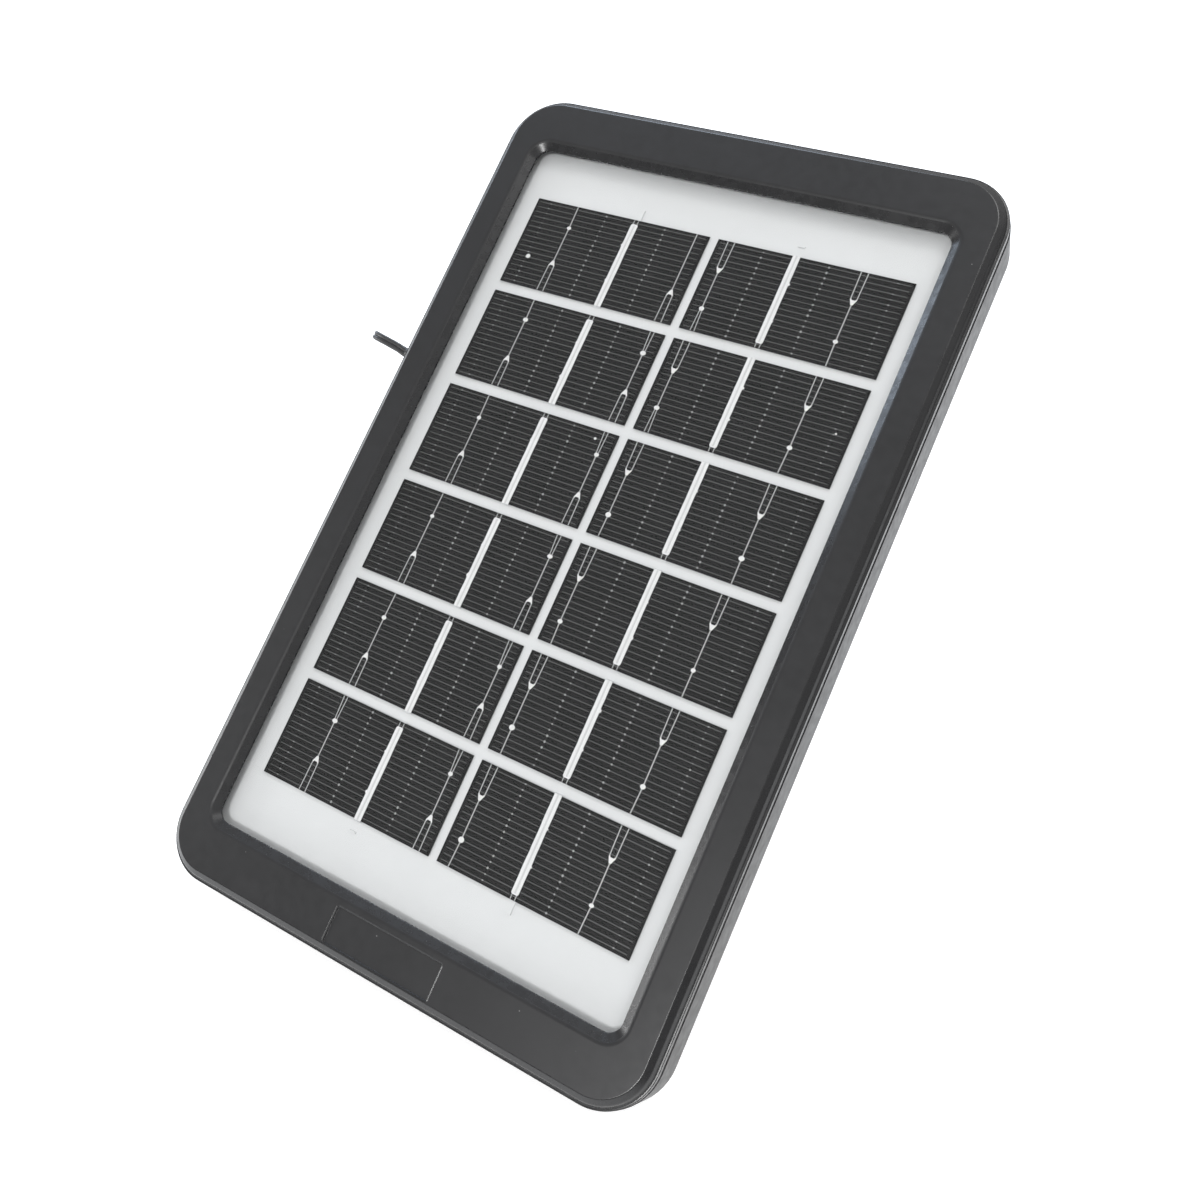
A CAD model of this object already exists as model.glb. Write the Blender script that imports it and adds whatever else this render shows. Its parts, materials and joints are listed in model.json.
"""Studio scene of a small framed solar panel on its fold-out stand."""
import json
import math
import random

import bmesh
import bpy
from mathutils import Matrix, Vector


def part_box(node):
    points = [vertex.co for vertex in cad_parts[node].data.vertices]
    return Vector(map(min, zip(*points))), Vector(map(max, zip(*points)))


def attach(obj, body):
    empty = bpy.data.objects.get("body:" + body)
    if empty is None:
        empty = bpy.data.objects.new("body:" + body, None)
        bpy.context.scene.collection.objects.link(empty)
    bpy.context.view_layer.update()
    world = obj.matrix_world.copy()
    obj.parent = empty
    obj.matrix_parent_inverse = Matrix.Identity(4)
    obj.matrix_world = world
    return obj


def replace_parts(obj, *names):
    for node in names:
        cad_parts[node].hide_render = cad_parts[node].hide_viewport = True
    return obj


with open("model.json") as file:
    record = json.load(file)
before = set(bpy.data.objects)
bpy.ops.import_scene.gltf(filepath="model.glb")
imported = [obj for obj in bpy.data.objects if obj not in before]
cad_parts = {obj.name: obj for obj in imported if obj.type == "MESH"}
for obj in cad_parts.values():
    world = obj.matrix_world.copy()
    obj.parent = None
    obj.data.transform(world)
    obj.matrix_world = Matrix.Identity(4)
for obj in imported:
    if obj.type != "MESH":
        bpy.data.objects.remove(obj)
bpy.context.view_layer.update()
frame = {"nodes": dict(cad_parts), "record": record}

MM = 0.001
scene = bpy.context.scene

# ---------- places and sizes, in millimetres unless a name says otherwise ----------

GLASS_T = 2.0
CELL_TOP = -2.3
CELL_T = 0.2
RIBBON_T = 0.15
SHEET_TOP = -2.8
GLASS_LAP = 2.5
PANEL_W, PANEL_H, CORNER_R = 142.0, 235.0, 14.0
WINDOW_W, WINDOW_H, WINDOW_R = 119.0, 202.6, 3.5
FACE_H = 2.0
SLOPE_W = 2.2
CELL_W, CELL_H = 53.4, 26.5
ROW_PITCH = 29.5
STRING_GAP = 2.5
GRID_UP = 1.1
ROWS = 6
RIBBON_W = 2.0
TAB_SHARE = 0.588

back_axis = next(m for m in frame["record"]["mounts"] if m["name"] == "case_back")["axis"]
TILT = math.atan2(back_axis[1], -back_axis[2])
FACE_NORMAL = Vector((0, -math.sin(TILT), math.cos(TILT)))
glass_low, glass_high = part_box("glass")
GLASS_CENTRE = (glass_low + glass_high) / 2 + FACE_NORMAL * GLASS_T / 2 * MM
PANEL = Matrix.Translation(GLASS_CENTRE) @ Matrix.Rotation(TILT, 4, "X")
WORLD = Matrix.Identity(4)

# ---------- camera ----------

camera_data = bpy.data.cameras.new("camera")
camera_data.sensor_width = 36.0
camera_data.lens = 34.03
camera_data.clip_start = 0.01
camera_data.clip_end = 50.0
camera = bpy.data.objects.new("camera", camera_data)
scene.collection.objects.link(camera)
camera.location = (0.12099, -0.19590, 0.25392)
camera.rotation_euler = [math.radians(a) for a in (49.738, 0.014, 30.629)]
scene.camera = camera

# ---------- materials ----------


class Nodes:
    """A Principled material, with short calls for the nodes that feed it."""

    def __init__(self, name, color, rough, metallic=0.0, specular=0.5):
        self.material = bpy.data.materials.new(name)
        self.material.use_nodes = True
        self.tree = self.material.node_tree
        self.bsdf = self.tree.nodes["Principled BSDF"]
        self.bsdf.inputs["Base Color"].default_value = (*color, 1.0)
        self.bsdf.inputs["Roughness"].default_value = rough
        self.bsdf.inputs["Metallic"].default_value = metallic
        self.bsdf.inputs["Specular IOR Level"].default_value = specular
        self.coords = None

    def add(self, kind, **values):
        node = self.tree.nodes.new(kind)
        for key, value in values.items():
            setattr(node, key, value)
        return node

    def link(self, a, b):
        self.tree.links.new(a, b)

    def where(self, stretch=(1, 1, 1)):
        """The piece's own coordinates, scaled."""
        if self.coords is None:
            self.coords = self.add("ShaderNodeTexCoord").outputs["Object"]
        if stretch == (1, 1, 1):
            return self.coords
        mapping = self.add("ShaderNodeMapping")
        mapping.inputs["Scale"].default_value = stretch
        self.link(self.coords, mapping.inputs["Vector"])
        return mapping.outputs["Vector"]

    def noise(self, size_mm, detail=3.0, stretch=(1, 1, 1), roughness=0.55):
        """Noise whose grains are about size_mm across."""
        node = self.add("ShaderNodeTexNoise")
        node.inputs["Scale"].default_value = 1 / (size_mm * MM)
        node.inputs["Detail"].default_value = detail
        node.inputs["Roughness"].default_value = roughness
        self.link(self.where(stretch), node.inputs["Vector"])
        return node.outputs["Fac"]

    def cells(self, size_mm):
        """Distance from the nearest of some scattered points about size_mm apart."""
        node = self.add("ShaderNodeTexVoronoi")
        node.inputs["Scale"].default_value = 1 / (size_mm * MM)
        self.link(self.where(), node.inputs["Vector"])
        return node.outputs["Distance"]

    def ramp(self, fac, low, high, out_low=0.0, out_high=1.0):
        """Spreads low..high over out_low..out_high."""
        node = self.add("ShaderNodeMapRange")
        node.inputs["From Min"].default_value = low
        node.inputs["From Max"].default_value = high
        node.inputs["To Min"].default_value = out_low
        node.inputs["To Max"].default_value = out_high
        self.link(fac, node.inputs["Value"])
        return node.outputs["Result"]

    def mix(self, fac, a, b):
        """A colour between a and b; each is a colour or a socket."""
        node = self.add("ShaderNodeMix", data_type="RGBA")
        self.link(fac, node.inputs["Factor"])
        for value, socket in ((a, node.inputs["A"]), (b, node.inputs["B"])):
            if isinstance(value, bpy.types.NodeSocket):
                self.link(value, socket)
            else:
                socket.default_value = (*value[:3], 1.0)
        return node.outputs["Result"]

    def paint(self, fac, a, b):
        """Mixes two colours into the base colour."""
        color = self.mix(fac, a, b)
        self.link(color, self.bsdf.inputs["Base Color"])
        return color

    def gloss(self, fac, low, high):
        """Lets the roughness wander between low and high."""
        self.link(self.ramp(fac, 0.3, 0.7, low, high), self.bsdf.inputs["Roughness"])

    def bump(self, height, depth_mm, strength=1.0):
        node = self.add("ShaderNodeBump")
        node.inputs["Strength"].default_value = strength
        node.inputs["Distance"].default_value = depth_mm * MM
        self.link(height, node.inputs["Height"])
        self.link(node.outputs["Normal"], self.bsdf.inputs["Normal"])


def scaled(color, k):
    return tuple(min(1.0, c * k) for c in color)


DUST_COLOR = (0.35, 0.35, 0.35)


def moulded(name, color, rough, grain_mm=0.16, depth_mm=0.004, dust=0.0, specular=0.5):
    """Moulded plastic: spark-eroded grain, faint cloudiness and, if asked, specks of dust."""
    m = Nodes(name, color, rough, specular=specular)
    cloud = m.noise(18, 4)
    tone = m.paint(m.ramp(cloud, 0.3, 0.7), scaled(color, 0.88), scaled(color, 1.14))
    if dust:
        speck = m.ramp(m.cells(5.5), 0.03, 0.018)
        m.paint(m.ramp(speck, 0, 1, 0, dust), tone, DUST_COLOR)
    m.gloss(m.noise(2.4, 3), rough - 0.045, rough + 0.055)
    m.bump(m.noise(grain_mm, 2, roughness=0.7), depth_mm, 0.55)
    return m.material


def jacket(name, color, rough):
    """Soft PVC: faint ripples from extrusion and a waxy sheen."""
    m = Nodes(name, color, rough)
    m.paint(m.noise(3, 3), scaled(color, 0.8), scaled(color, 1.35))
    m.gloss(m.noise(0.8, 2), rough - 0.08, rough + 0.1)
    m.bump(m.noise(0.5, 2), 0.006, 0.5)
    return m.material


def metal(name, color, rough, streak=(1, 1, 1)):
    """Plated or drawn metal with fine streaks."""
    m = Nodes(name, color, rough, metallic=1.0)
    m.paint(m.noise(0.9, 4, streak), scaled(color, 0.82), scaled(color, 1.1))
    m.gloss(m.noise(0.35, 3, streak), rough * 0.7, rough * 1.35)
    m.bump(m.noise(0.25, 3, streak), 0.002, 0.4)
    return m.material


def ribbon_tin(name, color):
    """Dipped tin-lead coat on copper ribbon: pale, uneven and drawn along its length."""
    m = Nodes(name, color, 0.5)
    m.paint(m.noise(0.7, 4, (1, 0.16, 1)), scaled(color, 0.84), scaled(color, 1.12))
    m.gloss(m.noise(0.5, 3, (1, 0.3, 1)), 0.36, 0.6)
    m.bump(m.noise(0.45, 3, (1, 0.25, 1)), 0.012, 0.5)
    return m.material


def silver_paste(name, color):
    """Screen-printed silver paste, fired matt."""
    m = Nodes(name, color, 0.5, metallic=0.2)
    m.paint(m.noise(0.18, 3), scaled(color, 0.72), scaled(color, 1.12))
    m.bump(m.noise(0.09, 2), 0.004, 0.6)
    return m.material


def silicon():
    """Coated silicon: nearly black, with a faint etched cloud and saw streaks across the wafer."""
    color = (0.006, 0.006, 0.0064)
    m = Nodes("silicon", color, 0.34, specular=0.1)
    cloud = m.paint(m.ramp(m.noise(9, 5), 0.3, 0.7), (0.0045, 0.0045, 0.0048), (0.009, 0.009, 0.0095))
    m.paint(m.ramp(m.noise(0.5, 2, (0.06, 1, 1)), 0.35, 0.65, 0, 0.35), cloud, (0.013, 0.013, 0.0135))
    m.gloss(m.noise(4, 3), 0.28, 0.42)
    m.bump(m.noise(0.12, 2), 0.001, 0.4)
    return m.material


def white_film(name, color):
    """Matt white film: even, with a faint orange peel from laminating."""
    m = Nodes(name, color, 0.55, specular=0.3)
    m.paint(m.noise(14, 4), scaled(color, 0.965), scaled(color, 1.02))
    m.bump(m.noise(1.6, 3), 0.01, 0.35)
    return m.material


def see_through(name, color):
    """A film that lets light pass straight on, tinted."""
    material = bpy.data.materials.new(name)
    material.use_nodes = True
    tree = material.node_tree
    tree.nodes.remove(tree.nodes["Principled BSDF"])
    through = tree.nodes.new("ShaderNodeBsdfTransparent")
    through.inputs["Color"].default_value = (*color, 1)
    tree.links.new(through.outputs["BSDF"], tree.nodes["Material Output"].inputs["Surface"])
    return material


def clear_glass():
    """Flat glass as a thin film: what is behind shows through, and the face mirrors more at a slant."""
    material = see_through("clear_glass", (0.992, 0.994, 0.993))
    tree = material.node_tree
    surface = tree.nodes["Material Output"].inputs["Surface"]
    through = surface.links[0].from_socket
    mirror = tree.nodes.new("ShaderNodeBsdfGlossy")
    mirror.inputs["Color"].default_value = (1, 1, 1, 1)
    mirror.inputs["Roughness"].default_value = 0.045
    slant = tree.nodes.new("ShaderNodeLayerWeight")
    slant.inputs["Blend"].default_value = 0.5
    fifth = tree.nodes.new("ShaderNodeMath")
    fifth.operation = "POWER"
    fifth.inputs[1].default_value = 5.0
    share = tree.nodes.new("ShaderNodeMapRange")
    share.inputs["To Min"].default_value = 0.012
    share.inputs["To Max"].default_value = 1.0
    mix = tree.nodes.new("ShaderNodeMixShader")
    tree.links.new(slant.outputs["Facing"], fifth.inputs[0])
    tree.links.new(fifth.outputs["Value"], share.inputs["Value"])
    tree.links.new(share.outputs["Result"], mix.inputs["Fac"])
    tree.links.new(through, mix.inputs[1])
    tree.links.new(mirror.outputs["BSDF"], mix.inputs[2])
    tree.links.new(mix.outputs["Shader"], surface)
    return material


def solder_mask():
    """Green lacquer of the terminal board."""
    color = (0.012, 0.075, 0.03)
    m = Nodes("solder_mask", color, 0.3)
    m.paint(m.noise(2.5, 3), scaled(color, 0.8), scaled(color, 1.3))
    m.bump(m.noise(0.7, 3), 0.01, 0.4)
    return m.material


def closed_foam(name, color):
    """Dull foam or sealant with a pitted skin."""
    m = Nodes(name, color, 0.9, specular=0.2)
    m.paint(m.noise(0.8, 3), scaled(color, 0.7), scaled(color, 1.4))
    m.bump(m.cells(0.5), 0.15, 0.7)
    return m.material


BEZEL = moulded("bezel_plastic", (0.0105, 0.0105, 0.0114), 0.42, dust=0.5, specular=0.4)
BEZEL_EDGE = moulded("bezel_edge_plastic", (0.009, 0.009, 0.0098), 0.27, depth_mm=0.0005, specular=0.46)
CASE = moulded("case_plastic", (0.016, 0.016, 0.0165), 0.4, grain_mm=0.2, depth_mm=0.004, specular=0.3)
LEG = moulded("leg_plastic", (0.0155, 0.0155, 0.016), 0.48, grain_mm=0.2, depth_mm=0.006)
PLUG = moulded("plug_plastic", (0.013, 0.013, 0.013), 0.42, grain_mm=0.3)
TIE = moulded("tie_nylon", (0.016, 0.016, 0.016), 0.38, grain_mm=0.4)
INSULATOR = moulded("insulator_plastic", (0.02, 0.02, 0.02), 0.5)
JACKET = jacket("cable_jacket", (0.013, 0.013, 0.0135), 0.42)
STEEL = metal("zinc_steel", (0.52, 0.52, 0.54), 0.32)
PIN = metal("ground_pin", (0.58, 0.58, 0.6), 0.24, (0.1, 1, 1))
NICKEL = metal("nickel", (0.68, 0.67, 0.65), 0.16, (1, 0.1, 1))
BRASS = metal("contact_metal", (0.72, 0.56, 0.28), 0.3)
TIN = ribbon_tin("ribbon_tin", (0.66, 0.66, 0.665))
TIN_MIDDLE = ribbon_tin("ribbon_middle", (0.5, 0.5, 0.505))
SOLDER = ribbon_tin("solder", (0.66, 0.66, 0.66))
PASTE = silver_paste("silver_paste", (0.4, 0.404, 0.408))
DOT = silver_paste("dot_paste", (0.32, 0.322, 0.325))
FINGER = silver_paste("finger_paste", (0.07, 0.07, 0.072))
SILICON = silicon()
FILM = white_film("white_film", (0.602, 0.607, 0.616))
TAPE = white_film("white_tape", (0.595, 0.6, 0.609))
GLASS = clear_glass()
RESIN = see_through("clear_resin", (0.997, 0.998, 0.997))
SEALANT = closed_foam("sealant", (0.012, 0.012, 0.012))
FOAM = closed_foam("foam", (0.05, 0.05, 0.052))
BOARD = solder_mask()
EPOXY = moulded("diode_epoxy", (0.012, 0.012, 0.012), 0.3)

# ---------- mesh helpers ----------


def piece(name, mesh, materials, body="panel", place=PANEL, crease=32):
    """Puts a mesh, in millimetres of the panel's own frame, into the scene on a body."""
    obj = bpy.data.objects.new(name, mesh)
    scene.collection.objects.link(obj)
    mesh.transform(Matrix.Scale(MM, 4))
    for material in materials:
        mesh.materials.append(material)
    if crease:
        mesh.polygons.foreach_set("use_smooth", [True] * len(mesh.polygons))
        mesh.set_sharp_from_angle(angle=math.radians(crease))
    obj.matrix_world = place
    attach(obj, body)
    return obj


def from_faces(name, verts, faces, marks=None):
    """A closed mesh with its faces turned outward; marks number each face's material."""
    mesh = bpy.data.meshes.new(name)
    mesh.from_pydata([tuple(v) for v in verts], [], faces)
    if marks:
        mesh.polygons.foreach_set("material_index", marks)
    mesh.validate()
    mesh.update()
    bm = bmesh.new()
    bm.from_mesh(mesh)
    bmesh.ops.recalc_face_normals(bm, faces=bm.faces)
    bm.to_mesh(mesh)
    bm.free()
    return mesh


def rounded_loop(half_w, half_h, radius, z, steps):
    """Points round a rounded rectangle, the same number at each size."""
    radius = max(radius, 0.02)
    points = []
    for cx, cy, start in ((1, 1, 0), (-1, 1, 90), (-1, -1, 180), (1, -1, 270)):
        for i in range(steps + 1):
            a = math.radians(start + 90 * i / steps)
            x = cx * (half_w - radius) + radius * math.cos(a)
            y = cy * (half_h - radius) + radius * math.sin(a)
            points.append((x, y, z))
    return points


def loft(name, loops, closed=False, marks=None):
    """Skins a row of equal loops; closed joins the last to the first, and otherwise both ends are capped."""
    n = len(loops[0])
    verts = [p for loop in loops for p in loop]
    faces = []
    spans = len(loops) if closed else len(loops) - 1
    for s in range(spans):
        a, b = s * n, (s + 1) % len(loops) * n
        faces += [(a + k, a + (k + 1) % n, b + (k + 1) % n, b + k) for k in range(n)]
    if not closed:
        faces.append(tuple(reversed(range(n))))
        faces.append(tuple(range((len(loops) - 1) * n, len(loops) * n)))
    return from_faces(name, verts, faces, marks)


def fillet(corner, before, after, radius, steps=4):
    """Points of an arc that rounds the corner of a profile between two of its neighbours."""
    c, p, q = Vector(corner), Vector(before), Vector(after)
    u, v = (p - c).normalized(), (q - c).normalized()
    half = math.acos(max(-1.0, min(1.0, u.dot(v)))) / 2
    reach = radius / math.tan(half)
    middle = c + (u + v).normalized() * (radius / math.sin(half))
    start, end = c + u * reach - middle, c + v * reach - middle
    turn = start.angle_signed(end)
    return [middle + Matrix.Rotation(-turn * i / steps, 2) @ start for i in range(steps + 1)]


def rounded_profile(points):
    """A closed profile from (x, y, radius) corners, with each corner rounded by its radius."""
    out = []
    for i, (x, y, radius) in enumerate(points):
        if radius <= 0:
            out.append(Vector((x, y)))
            continue
        before = points[i - 1][:2]
        after = points[(i + 1) % len(points)][:2]
        out += fillet((x, y), before, after, radius)
    return out


class Boxes:
    """Collects small closed solids in one mesh, each with a material number."""

    def __init__(self):
        self.verts, self.faces, self.marks = [], [], []

    def prism(self, outline, z0, z1, mark=0):
        """The outline raised from z0 to z1."""
        start, n = len(self.verts), len(outline)
        self.verts += [(x, y, z0) for x, y in outline] + [(x, y, z1) for x, y in outline]
        self.faces.append(tuple(start + k for k in reversed(range(n))))
        self.faces.append(tuple(start + n + k for k in range(n)))
        for k in range(n):
            self.faces.append((start + k, start + (k + 1) % n, start + n + (k + 1) % n, start + n + k))
        self.marks += [mark] * (n + 2)

    def bar(self, x0, y0, x1, y1, width, z0, z1, mark=0):
        """A flat strip along the line from one point to another."""
        d = Vector((x1 - x0, y1 - y0)).normalized() * width / 2
        self.prism(
            [(x0 + d.y, y0 - d.x), (x1 + d.y, y1 - d.x), (x1 - d.y, y1 + d.x), (x0 - d.y, y0 + d.x)],
            z0, z1, mark,
        )

    def disc(self, x, y, radius, z0, z1, mark=0, steps=14, flat=1.0):
        """A round spot, squashed or stretched along y by flat."""
        ring = [2 * math.pi * k / steps for k in range(steps)]
        outline = [(x + radius * math.cos(a), y + flat * radius * math.sin(a)) for a in ring]
        self.prism(outline, z0, z1, mark)

    def mesh(self, name):
        return from_faces(name, self.verts, self.faces, self.marks)


# Edges of a CAD piece that turn by more than this, in degrees, are rounded
SHARP = 38


def tidy_normals(obj):
    """Keeps flat faces looking flat next to their rounded edges."""
    modifier = obj.modifiers.new("normals", "WEIGHTED_NORMAL")
    modifier.keep_sharp = True
    modifier.weight = 90


def softened(name, node, material, width, body="panel"):
    """A copy of a CAD piece with its sharp edges rounded, standing for it."""
    mesh = frame["nodes"][node].data.copy()
    mesh.materials.clear()
    bm = bmesh.new()
    bm.from_mesh(mesh)
    bmesh.ops.remove_doubles(bm, verts=bm.verts, dist=2e-6)
    bmesh.ops.dissolve_limit(bm, angle_limit=math.radians(0.6), verts=bm.verts, edges=bm.edges)
    bmesh.ops.recalc_face_normals(bm, faces=bm.faces)
    bm.to_mesh(mesh)
    bm.free()
    mesh.transform(Matrix.Scale(1 / MM, 4))
    obj = piece(name, mesh, [material], body, WORLD, crease=SHARP)
    bevel = obj.modifiers.new("edges", "BEVEL")
    bevel.limit_method = "ANGLE"
    bevel.angle_limit = math.radians(SHARP)
    bevel.width = width * MM
    bevel.segments = 2
    bevel.harden_normals = False
    tidy_normals(obj)
    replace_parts(obj, node)
    return obj


def paint_node(node, material):
    """Gives a CAD piece that stays as it is a material."""
    obj = frame["nodes"][node]
    if not obj.material_slots:
        obj.data.materials.append(material)
    for holder in obj.material_slots:
        holder.material = material


# ---------- lead: one flat twin cord from the case to the plug ----------

LEAD_ROUTE = [
    (-71.2, 29.5, 97.1), (-76.8, 29.5, 97.1),
    (-80.5, 30.2, 97.7), (-84, 30.7, 98.1), (-87.4, 31.2, 98.4),
    (-90.1, 32.1, 98.2), (-92, 33.9, 97.1), (-92.6, 36, 95.3), (-91.8, 37.9, 93.4),
    (-89.8, 39.1, 91.8), (-87, 39.3, 91), (-83.5, 38.8, 90.1), (-79.8, 38, 87.6),
    (-77.4, 37.2, 82.5), (-75.8, 35.8, 75), (-74.2, 33.6, 65), (-73.1, 31.5, 54),
    (-72.1, 29.5, 42), (-71.3, 28.2, 31), (-70.9, 28.2, 22.5), (-70.9, 30.2, 15.4),
    (-70.9, 34.4, 11), (-70.95, 40, 9.85),
]
TAIL_ROUTE = [(-70.95, 40, 1.75), (-70.9, 44, 1.8), (-70.5, 48, 2.2), (-69.7, 52, 3.2), (-69, 57, 4.6)]
CORE_R = 0.7
CORE_APART = 0.6
COIL_CENTRE = (-50.0, 40.0)
COIL_OUT, COIL_IN = 20.95, 9.05
COIL_LAYERS = (9.85, 7.15, 4.45, 1.75)
LAYER_TURNS = 7.5
STEPS_A_TURN = 40
# The last share of a layer, in which the lead steps down to the next one
STEP_DOWN = 0.04


def smooth_route(points, per_span=5):
    """Points along a Catmull-Rom curve through the route."""
    p = [Vector(q) for q in points]
    p = [p[0] * 2 - p[1], *p, p[-1] * 2 - p[-2]]
    out = []
    for i in range(1, len(p) - 2):
        a, b, c, d = p[i - 1:i + 3]
        for k in range(per_span):
            t = k / per_span
            out.append(0.5 * (2 * b + (c - a) * t + (2 * a - 5 * b + 4 * c - d) * t * t
                              + (3 * b - a - 3 * c + d) * t ** 3))
    return [*out, p[-2]]


def coil_turns():
    """Layer by layer: in along the top, out along the next, and so on down."""
    out = []
    steps = int(LAYER_TURNS * STEPS_A_TURN)
    for layer, z in enumerate(COIL_LAYERS):
        for k in range(steps):
            t = k / steps
            share = t if layer % 2 == 0 else 1 - t
            radius = COIL_OUT + (COIL_IN - COIL_OUT) * share
            angle = math.pi - 2 * math.pi * LAYER_TURNS * (layer + t)
            drop = 0.0
            if layer + 1 < len(COIL_LAYERS):
                late = max(0.0, (t - 1 + STEP_DOWN) / STEP_DOWN)
                drop = (COIL_LAYERS[layer + 1] - z) * late * late * (3 - 2 * late)
            out.append(Vector((COIL_CENTRE[0] + radius * math.cos(angle),
                               COIL_CENTRE[1] + radius * math.sin(angle), z + drop)))
    return out


def spaced(points, gap):
    """The same line with its points an even gap apart."""
    out, left = [points[0]], gap
    for a, b in zip(points, points[1:]):
        span = (b - a).length
        at = left
        while at <= span:
            out.append(a.lerp(b, at / span))
            at += gap
        left = at - span
    if (out[-1] - points[-1]).length > gap / 2:
        out.append(points[-1])
    else:
        out[-1] = points[-1]
    return out


def twin_section():
    """The figure-of-eight outline of two cores side by side: (along the width, through the thickness)."""
    meet = math.degrees(math.acos(-CORE_APART / CORE_R))
    right = [math.radians(-meet + 2 * meet * (k + 0.5) / 9) for k in range(9)]
    half = [(CORE_APART + CORE_R * math.cos(a), CORE_R * math.sin(a)) for a in right]
    notch = math.sqrt(CORE_R ** 2 - CORE_APART ** 2)
    return [(0, -notch), *half, (0, notch), *[(-x, -y) for x, y in half]]


def length_of(points):
    return sum((b - a).length for a, b in zip(points, points[1:]))


lead_points = smooth_route(LEAD_ROUTE)
coil_points = coil_turns()
tail_points = smooth_route(TAIL_ROUTE)
lead_line = spaced(lead_points + coil_points + tail_points, 1.0)
lead_length = length_of(lead_line)
down_length = length_of(lead_points)
tail_length = length_of(tail_points)

# Which way the flat lead's width points, at distances along it
WIDTH_WAYS = [
    (0, (0.176, 0.661, 0.73)), (44, (0.176, 0.661, 0.73)), (76, (0.8, 0.5, 0.2)),
    (down_length - 14, (0.9, 0, 0.3)), (down_length + 6, (0, 0, 1)),
    (lead_length - tail_length, (0, 0, 1)), (lead_length, (0.4, 0, 1)),
]


def width_way(s):
    """Which way the lead's width points at distance s along it."""
    for (s0, a), (s1, b) in zip(WIDTH_WAYS, WIDTH_WAYS[1:]):
        if s <= s1:
            return Vector(a).lerp(Vector(b), (s - s0) / (s1 - s0))
    return Vector(WIDTH_WAYS[-1][1])


def make_lead():
    """The twin section carried along the lead's line."""
    section = twin_section()
    loops = []
    s = 0.0
    for i, p in enumerate(lead_line):
        ahead = lead_line[min(i + 1, len(lead_line) - 1)] - lead_line[max(i - 1, 0)]
        ahead.normalize()
        if i:
            s += (p - lead_line[i - 1]).length
        width = width_way(s)
        width = (width - ahead * width.dot(ahead)).normalized()
        through = ahead.cross(width)
        loops.append([p + width * x + through * y for x, y in section])
    lead = piece("lead", loft("lead", loops), [JACKET], place=WORLD, crease=60)
    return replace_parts(lead, "lead_tube", "lead_coil")


def lathe(name, profile, centre, material, steps=48):
    """A turned piece along +Y: profile points are (distance along, radius), both ends capped."""
    cx, cy, cz = centre
    turns = [2 * math.pi * k / steps for k in range(steps)]
    loops = []
    for along, r in profile:
        loops.append([(cx + r * math.cos(a), cy + along, cz + r * math.sin(a)) for a in turns])
    return piece(name, loft(name, loops), [material], place=WORLD, crease=34)


PLUG_AT = (-69.0, 57.0, 4.6)
BOOT_L, PLUG_L = 11.0, 22.0
PLUG_R, RING_R = 4.6, 4.2


def make_plug():
    """The plug: ribbed strain relief, ringed grip, and the CAD's end pieces with their edges rounded."""
    boot = [(0, 1.2), (0, 1.75), (0.25, 1.95)]
    for k in range(5):
        at, r = 0.9 + 1.9 * k, 2.1 + 0.24 * k
        boot += [(at, r - 0.12), (at + 0.12, r), (at + 0.95, r + 0.06)]
        boot += [(at + 1.07, r - 0.3), (at + 1.75, r - 0.26)]
    boot += [(BOOT_L - 0.5, 3.05), (BOOT_L, 3.2)]
    boot_piece = lathe("plug_strain_relief", boot, PLUG_AT, PLUG)
    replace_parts(boot_piece, "plug_boot")
    at = (PLUG_AT[0], PLUG_AT[1] + BOOT_L, PLUG_AT[2])
    body = [(0, 2.9), (0, 3.3), (0.5, 3.75), (1.5, 4.3), (2.6, 4.52), (3.4, 4.58)]
    for k in range(5):
        ring = 4.6 + 1.7 * k
        body += [(ring, PLUG_R), (ring + 0.12, PLUG_R - 0.15), (ring + 0.22, RING_R)]
        body += [(ring + 0.6, RING_R), (ring + 0.7, PLUG_R - 0.15), (ring + 0.82, PLUG_R)]
    body += [(14, PLUG_R), (PLUG_L - 0.9, PLUG_R), (PLUG_L - 0.35, PLUG_R - 0.15)]
    body += [(PLUG_L, 4.1), (PLUG_L, 2.75)]
    body_piece = lathe("plug_grip", body, at, PLUG)
    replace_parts(body_piece, "plug_body")
    sleeve = softened("plug_shell", "plug_sleeve", NICKEL, 0.1)
    insulator = softened("plug_liner", "plug_insulator", INSULATOR, 0.1)
    contact = softened("plug_inner_contact", "plug_contact", BRASS, 0.05)
    return [boot_piece, body_piece, sleeve, insulator, contact]


lead = make_lead()
plug_pieces = make_plug()
coil_band = softened("coil_band", "coil_tie", TIE, 0.15)
gland = softened("cable_gland", "cable_grommet", JACKET, 0.25)

# ---------- front frame ----------

CORNER_STEPS = 20
LIP_Z, SEAM_Z = -2.3, -2.8
GROOVE_DEEP = 1.0
TONGUE_OUT, TONGUE_IN, TONGUE_Z = -2.5, -3.9, -5.0
FACE_BACK_Z = -0.2
EDGE_RING = -4.8
POCKET = 2.8
RIB_OUT, RIB_Z = 4.4, -4.7
ROLL_W = 2.65
LIP_H = 0.42


def outer(x, z):
    """A loop round the frame, x outside its edge."""
    return rounded_loop(PANEL_W / 2 + x, PANEL_H / 2 + x, CORNER_R + x, z, CORNER_STEPS)


def inner(x, z):
    """A loop round the window, x outside its edge."""
    return rounded_loop(WINDOW_W / 2 + x, WINDOW_H / 2 + x, WINDOW_R + x, z, CORNER_STEPS)


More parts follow.
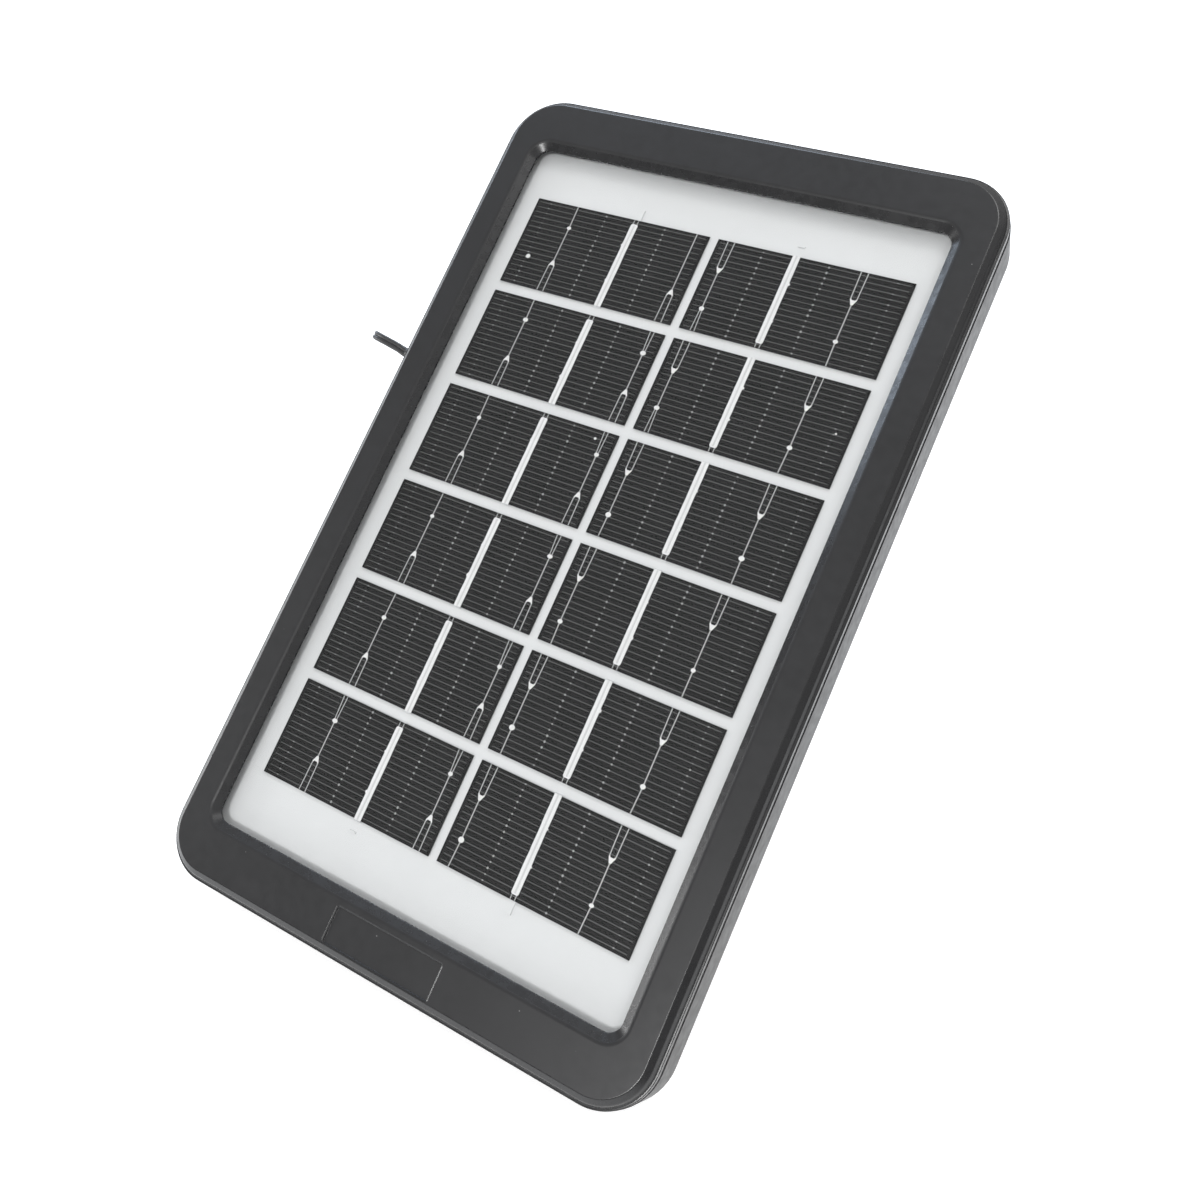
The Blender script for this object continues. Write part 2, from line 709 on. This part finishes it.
def make_bezel():
    """The frame's section, from the groove over the rolled edge and face to the slope, and back below."""
    edge = rounded_profile([
        (-GROOVE_DEEP, SEAM_Z, 0), (-GROOVE_DEEP, LIP_Z, 0.1), (0.0, LIP_Z, 0.15), (0.0, -0.3, 0.2),
        (-0.62, -0.25, 0.4), (-1.25, 0.95, 1.2), (-ROLL_W, FACE_H, 0.65), (-5.0, FACE_H, 0),
    ])
    rim = rounded_profile([
        (5.0, FACE_H, 0), (SLOPE_W + 0.12, FACE_H, 1.8), (0.08, LIP_H, 0.16), (0.0, 0.0, 0), (POCKET, 0.0, 0),
    ])
    loops = [outer(x, z) for x, z in edge[1:]]
    loops += [inner(x, z) for x, z in rim]
    loops += [inner(POCKET, RIB_Z), inner(RIB_OUT, RIB_Z), inner(RIB_OUT, FACE_BACK_Z)]
    behind = (
        (EDGE_RING, FACE_BACK_Z), (TONGUE_IN, FACE_BACK_Z), (TONGUE_IN, TONGUE_Z),
        (TONGUE_OUT, TONGUE_Z), (TONGUE_OUT, SEAM_Z), (-GROOVE_DEEP, SEAM_Z),
    )
    loops += [outer(x, z) for x, z in behind]
    mesh = loft("bezel", loops, closed=True)
    mark_face(mesh, loops, len(edge) - 1)
    bezel = piece("bezel", mesh, [BEZEL, BEZEL_EDGE], crease=50)
    cut_plate(bezel)
    tidy_normals(bezel)
    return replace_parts(bezel, "front_frame")


def mark_face(mesh, loops, face_start):
    """Gives the face and the top of the slope the first material, and the glossier edges the second."""
    n = len(loops[0])
    heights = [loop[0][2] for loop in loops] + [loops[0][0][2]]
    marks = []
    for k in range(len(loops)):
        depth = 0.8 if k > face_start else 0.05
        on_face = k > face_start - 3 and min(heights[k], heights[k + 1]) > FACE_H - depth
        marks += [0 if on_face else 1] * n
    mesh.polygons.foreach_set("material_index", marks)


PLATE_W, PLATE_H, PLATE_V, PLATE_DEEP, PLATE_R = 31.0, 8.9, -109.85, 0.45, 0.35


def cut_plate(bezel):
    """Sinks a shallow blank label plate with a narrow slope round it into the frame's lower bar."""
    wall = (
        (-0.1, -PLATE_DEEP), (-0.02, -PLATE_DEEP + 0.08), (0.0, -0.24), (0.05, -0.17),
        (0.42, -0.01), (0.46, 0.0), (0.46, 1.0),
    )
    loops = []
    for grow, z in wall:
        radius = PLATE_R + max(grow, 0)
        loops.append(rounded_loop(PLATE_W / 2 + grow, PLATE_H / 2 + grow, radius, FACE_H + z, 4))
    mesh = loft("plate_cutter", loops)
    mesh.polygons.foreach_set("material_index", [1] * (len(mesh.polygons) - 2) + [0, 0])
    cutter = bpy.data.objects.new("plate_cutter", mesh)
    scene.collection.objects.link(cutter)
    mesh.transform(Matrix.Scale(MM, 4) @ Matrix.Translation((0, PLATE_V, 0)))
    cutter.matrix_world = PANEL
    apply_cut(bezel, cutter)


def apply_cut(obj, cutter):
    """Takes the cutter out of the piece for good."""
    modifier = obj.modifiers.new("cut", "BOOLEAN")
    modifier.operation = "DIFFERENCE"
    modifier.solver = "EXACT"
    modifier.object = cutter
    bpy.context.view_layer.update()
    graph = bpy.context.evaluated_depsgraph_get()
    cut = bpy.data.meshes.new_from_object(obj.evaluated_get(graph))
    obj.modifiers.remove(modifier)
    obj.data = cut
    cut.polygons.foreach_set("use_smooth", [True] * len(cut.polygons))
    cut.set_sharp_from_angle(angle=math.radians(50))
    bpy.data.objects.remove(cutter)


make_bezel()

# ---------- laminate ----------


def slab_piece(name, node_list, material, inset, z0, z1, edge):
    """A sheet of the laminate, inset from the glass's outline, with a small chamfer round both faces."""
    half_w, half_h = GLASS_W / 2 - inset, GLASS_H / 2 - inset
    radius = GLASS_R - inset
    levels = ((edge, z0), (0, z0 + edge), (0, z1 - edge), (edge, z1))
    loops = [rounded_loop(half_w - e, half_h - e, radius - e, z, 6) for e, z in levels]
    obj = piece(name, loft(name, loops), [material], crease=30)
    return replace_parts(obj, *node_list)


GLASS_W, GLASS_H, GLASS_R = WINDOW_W + 2 * GLASS_LAP, WINDOW_H + 2 * GLASS_LAP, WINDOW_R + GLASS_LAP
slab_piece("cover_glass", ["glass"], GLASS, 0.0, -GLASS_T, 0.0, 0.12)
slab_piece("encapsulant", ["eva_front", "eva_rear"], RESIN, 0.4, -GLASS_T - 0.15, -GLASS_T - 0.03, 0.02)
paint_node("backsheet", FILM)

FINGERS = 17
FINGER_MARGIN = 0.9
BUSBARS = (0.245, 0.93)
DOTTED = (0.082, 0.418, 0.755)
PAD_AT = 6.5
FORK_AT = 17.9
FORK_HALF = 0.95
LINE_W = 0.3
BAR_START = 0.05
PAD_RISE = 0.03
PRINT_LOW, PRINT_HIGH = CELL_TOP - 0.03, CELL_TOP + 0.02

# How each busbar starts at the cell's first edge: a single line, a pair that meets at the pad, or no pad
STARTS = {
    1: ("line", "bare"), 2: ("line", "pair"), 3: ("line", "pair"), 4: ("line", "pair"),
    5: ("line", "pair"), 6: ("pair", "pair"), 7: ("line", "pair"), 8: ("line", "pair"),
    9: ("line", "line"), 10: ("line", "line"), 11: ("line", "line"), 12: ("line", "line"),
}
# Stray drops of paste: cell, distance from the left edge, distance from the top edge, radius
DROPS = [(1, 5.0, 17.6, 0.62), (3, 47.4, 2.6, 0.36), (8, 49.6, 12.9, 0.24)]
# Outline of the pad where a busbar forks, from its stem down to its two prongs
FORK_PAD = [
    (-0.3, -0.75), (0.3, -0.75), (0.62, 0.1), (0.95, 0.75), (0.62, 0.95), (0.5, 0.62),
    (-0.5, 0.62), (-0.62, 0.95), (-0.95, 0.75), (-0.62, 0.1),
]
# Materials of a cell, by the number its solids are marked with
CELL_COATS = [SILICON, PASTE, FINGER, SOLDER, DOT]
WAFER, BUSBAR, THIN_FINGER, PAD, SPOT = range(len(CELL_COATS))


def cell_corner(i):
    """The cell's top left corner."""
    string, row = (0, i) if i <= ROWS else (1, i - ROWS)
    left = -STRING_GAP / 2 - CELL_W if string == 0 else STRING_GAP / 2
    top = GRID_UP + (ROWS / 2 - row + 1) * ROW_PITCH - (ROW_PITCH - CELL_H) / 2
    return left, top


def printed(boxes, i, rng):
    """Everything printed on one cell, with x from its left edge and y down from its first edge."""
    left, top = cell_corner(i)
    turned = i > ROWS

    def at(x, y):
        if turned:
            return left + CELL_W - x, top - CELL_H + y
        return left + x, top - y

    def bar(x0, y0, x1, y1, width, mark=BUSBAR, rise=0.0):
        boxes.bar(*at(x0, y0), *at(x1, y1), width, PRINT_LOW, PRINT_HIGH + rise, mark)

    for k in range(FINGERS):
        y = CELL_H * (k + 0.62) / (FINGERS + 0.24)
        bar(FINGER_MARGIN, y, CELL_W - FINGER_MARGIN, y, rng.uniform(0.2, 0.27), THIN_FINGER, -0.004)
        for share in DOTTED:
            strong = share != DOTTED[0]
            size = rng.uniform(0.2, 0.3) if strong else rng.uniform(0.13, 0.22)
            x = CELL_W * share + rng.uniform(-0.08, 0.08)
            boxes.disc(*at(x, y), size, PRINT_LOW, PRINT_HIGH, SPOT, steps=8, flat=rng.uniform(0.9, 1.3))
    for n, share in enumerate(BUSBARS):
        x, start = CELL_W * share, STARTS[i][n]
        pad = PAD_AT + rng.uniform(-0.5, 0.6)
        fork = FORK_AT + rng.uniform(-0.25, 0.25)
        lean = rng.uniform(-0.35, 0.35)
        if start == "bare":
            bar(x, BAR_START, x, fork, LINE_W)
        elif start == "line":
            bar(x + lean, BAR_START, x, pad, LINE_W)
        else:
            bar(x - 0.62, BAR_START, x - 0.28, pad, LINE_W * 0.8)
            bar(x + 0.5, BAR_START, x + 0.28, pad, LINE_W * 0.8)
        if start != "bare":
            size = rng.uniform(0.62, 0.82)
            boxes.disc(*at(x, pad), size, PRINT_LOW, PRINT_HIGH + PAD_RISE, PAD, flat=rng.uniform(0.7, 0.95))
            bar(x, pad, x, fork, LINE_W)
        boxes.prism([at(x + dx, fork + dy) for dx, dy in FORK_PAD], PRINT_LOW, PRINT_HIGH + PAD_RISE, PAD)
        for side in (-1, 1):
            prong = x + side * FORK_HALF
            bar(prong - side * 0.14, fork + 0.7, prong, CELL_H - BAR_START, LINE_W * 0.9)
    ribbon = CELL_W * TAB_SHARE
    for side in (-0.6, 0.6):
        bar(ribbon + side, BAR_START, ribbon + side, 1.6, LINE_W * 0.7)
    for cell, x, y, radius in DROPS:
        if cell == i:
            boxes.disc(left + x, top - y, radius, PRINT_LOW, PRINT_HIGH + 0.1, PAD)


def make_cell(i):
    """One cut cell: the wafer with tiny cut corners, and its print."""
    left, top = cell_corner(i)
    right, bottom = left + CELL_W, top - CELL_H
    rng = random.Random(100 + i)
    boxes = Boxes()
    nick = 0.04
    outline = [
        (left + nick, bottom), (right - nick, bottom), (right, bottom + nick), (right, top - nick),
        (right - nick, top), (left + nick, top), (left, top - nick), (left, bottom + nick),
    ]
    boxes.prism(outline, CELL_TOP - CELL_T, CELL_TOP, WAFER)
    printed(boxes, i, rng)
    name = f"cell_{i:02d}"
    obj = piece(name, boxes.mesh(name), CELL_COATS, crease=0)
    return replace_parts(obj, f"solar_cell_{i:02d}")


RIBBON_START = 1.35
RIBBON_TAPER = 0.35
RIBBON_STEPS = 12
# How far a ribbon runs behind the next cell, from that cell's first edge
REAR_TAB = 16.0
# How far past its own cell's last edge a ribbon has dipped, and ends in the last cell of a string
END_TAB = 2.9
SOLDER_SPOTS = (8.6, 18.9)
BARE, DULL, COVERED = range(3)


def ribbon_spine(last):
    """A ribbon's line as (distance from the cell's first edge, height of its top)."""
    front = CELL_TOP + RIBBON_T
    under = CELL_TOP - CELL_T - 0.02
    sunk = SHEET_TOP - 0.05
    flat_from = RIBBON_START + RIBBON_TAPER
    flat_l = CELL_H - 0.5 - flat_from
    spine = [(RIBBON_START, front - 0.07), (flat_from, front)]
    spine += [(flat_from + flat_l * k / RIBBON_STEPS, front) for k in range(1, RIBBON_STEPS + 1)]
    spine += [(CELL_H + 0.12, front - 0.04), (CELL_H + 0.5, sunk), (CELL_H + 2.4, sunk)]
    if last:
        return spine + [(CELL_H + END_TAB, sunk), (CELL_H + END_TAB, sunk)]
    return spine + [(CELL_H + END_TAB, under), (ROW_PITCH + REAR_TAB, under)]


def make_ribbon(i):
    """A tab ribbon: rounded start on the front of a cell, over its edge and down behind the next."""
    left, top = cell_corner(i)
    turned = i > ROWS
    side = -1 if turned else 1
    x_mid = left + CELL_W * (1 - TAB_SHARE if turned else TAB_SHARE)
    rng = random.Random(200 + i)
    half = RIBBON_W / 2
    spine = ribbon_spine(last=i in (ROWS, ROWS + 1))

    def height(y):
        return top - CELL_H + y if turned else top - y

    loops = []
    for n, (y, z) in enumerate(spine):
        wander = rng.uniform(-0.05, 0.05) if 2 < n < 12 else 0.0
        w = half * (0.72 if n == 0 else 1.0) + wander
        section = ((-w, -0.13), (-w, -0.03), (-w + 0.16, 0.0), (-0.24, -0.015), (0.24, -0.015),
                   (w - 0.16, 0.0), (w, -0.03), (w, -0.13))
        loops.append([(x_mid + side * x, height(y), z + dz) for x, dz in section])
    marks = []
    for k, (y, _) in enumerate(spine[:-1]):
        row = [BARE] * len(section)
        if y > CELL_H:
            row = [COVERED] * len(section)
        elif k > 0:
            row[3] = DULL
        marks += row
    name = f"ribbon_{i:02d}"
    mesh = loft(name, loops, marks=marks + [BARE, COVERED])
    solder = Boxes()
    for spot in SOLDER_SPOTS:
        v = height(spot) + rng.uniform(-0.9, 0.9)
        size = rng.uniform(0.2, 0.42)
        edge = x_mid - side * (half + 0.02)
        solder.disc(edge, v, size, CELL_TOP - 0.02, CELL_TOP + 0.1, BARE, flat=rng.uniform(0.7, 1.5))
    add_mesh(mesh, solder.mesh("solder"))
    obj = piece(name, mesh, [TIN, TIN_MIDDLE, TAPE], crease=35)
    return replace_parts(obj, f"tab_ribbon_{i:02d}")


def add_mesh(mesh, more):
    """Joins a second mesh to the first and drops it."""
    bm = bmesh.new()
    bm.from_mesh(mesh)
    bm.from_mesh(more)
    bm.to_mesh(mesh)
    bm.free()
    bpy.data.meshes.remove(more)


for number in range(1, 2 * ROWS + 1):
    make_cell(number)
    make_ribbon(number)
for node in ("string_link", "output_ribbon_positive", "output_ribbon_negative"):
    paint_node(node, TAPE)

# ---------- rear cover, stand and the pieces inside ----------

softened("rear_shell", "rear_cover", CASE, 0.3)
softened("fold_out_leg", "stand", LEG, 0.35, body="stand")
softened("hinge_pin", "stand_pin", PIN, 0.15)
softened("cover_screws", "case_screws", STEEL, 0.08)
paint_node("glass_seal", SEALANT)
paint_node("foam_strips", FOAM)
paint_node("terminal_board", BOARD)
paint_node("blocking_diode", EPOXY)
paint_node("inner_lead", JACKET)

# ---------- studio ----------


def make_floor():
    """A plain white floor that glows a little, so that it stays white under the panel."""
    mesh = bpy.data.meshes.new("floor")
    half = 6.0
    corners = [(-half, -half, 0), (half, -half, 0), (half, half, 0), (-half, half, 0)]
    mesh.from_pydata(corners, [], [(0, 1, 2, 3)])
    floor = bpy.data.objects.new("floor", mesh)
    scene.collection.objects.link(floor)
    color = (0.86, 0.86, 0.86)
    m = Nodes("floor_paper", color, 0.85, specular=0.1)
    m.paint(m.noise(300, 2), scaled(color, 0.99), scaled(color, 1.01))
    m.bsdf.inputs["Emission Color"].default_value = (1, 1, 1, 1)
    m.bsdf.inputs["Emission Strength"].default_value = 0.45
    mesh.materials.append(m.material)


# A point near the panel's middle, in metres, at which the lights point
AIM = Vector((0, 0, 0.08))


def softbox(name, towards, distance, size, power, tint=(1, 1, 1)):
    """An area light in the given direction from the panel, facing it."""
    data = bpy.data.lights.new(name, "AREA")
    data.shape = "RECTANGLE"
    data.size, data.size_y = size
    data.energy = power
    data.color = tint
    light = bpy.data.objects.new(name, data)
    scene.collection.objects.link(light)
    way = Vector(towards).normalized()
    light.location = AIM + way * distance
    light.rotation_mode = "QUATERNION"
    light.rotation_quaternion = way.to_track_quat("Z", "Y")


def make_world():
    """A dome that is bright overhead and dim at the horizon, with plain white behind."""
    world = bpy.data.worlds.new("studio")
    scene.world = world
    world.use_nodes = True
    tree = world.node_tree
    dome = tree.nodes["Background"]
    dome.inputs["Color"].default_value = (1, 1, 1, 1)
    coord = tree.nodes.new("ShaderNodeTexCoord")
    split = tree.nodes.new("ShaderNodeSeparateXYZ")
    rise = tree.nodes.new("ShaderNodeMapRange")
    rise.inputs["From Min"].default_value = 0.0
    rise.inputs["From Max"].default_value = 0.6
    rise.inputs["To Min"].default_value = 0.25
    rise.inputs["To Max"].default_value = 0.8
    tree.links.new(coord.outputs["Generated"], split.inputs["Vector"])
    tree.links.new(split.outputs["Z"], rise.inputs["Value"])
    tree.links.new(rise.outputs["Result"], dome.inputs["Strength"])
    behind = tree.nodes.new("ShaderNodeBackground")
    behind.inputs["Color"].default_value = (1, 1, 1, 1)
    behind.inputs["Strength"].default_value = 1.0
    path = tree.nodes.new("ShaderNodeLightPath")
    mix = tree.nodes.new("ShaderNodeMixShader")
    tree.links.new(path.outputs["Is Camera Ray"], mix.inputs["Fac"])
    tree.links.new(dome.outputs["Background"], mix.inputs[1])
    tree.links.new(behind.outputs["Background"], mix.inputs[2])
    tree.links.new(mix.outputs["Shader"], tree.nodes["World Output"].inputs["Surface"])


make_floor()
make_world()
softbox("overhead", (0.3, 0.25, 0.92), 1.3, (0.7, 0.7), 8.0)
softbox("front", (0.08, -0.84, 0.53), 1.3, (0.26, 0.2), 7.5)
softbox("left", (-0.93, -0.33, 0.14), 1.3, (0.3, 0.3), 5.0)
softbox("back_left", (-0.42, 0.62, 0.66), 1.2, (0.6, 0.5), 5.0, (0.7, 0.82, 1.0))
softbox("far_left", (-0.87, 0.37, 0.33), 1.3, (0.4, 0.4), 3.0, (0.72, 0.84, 1.0))
scene.view_settings.view_transform = "Standard"
scene.view_settings.look = "None"
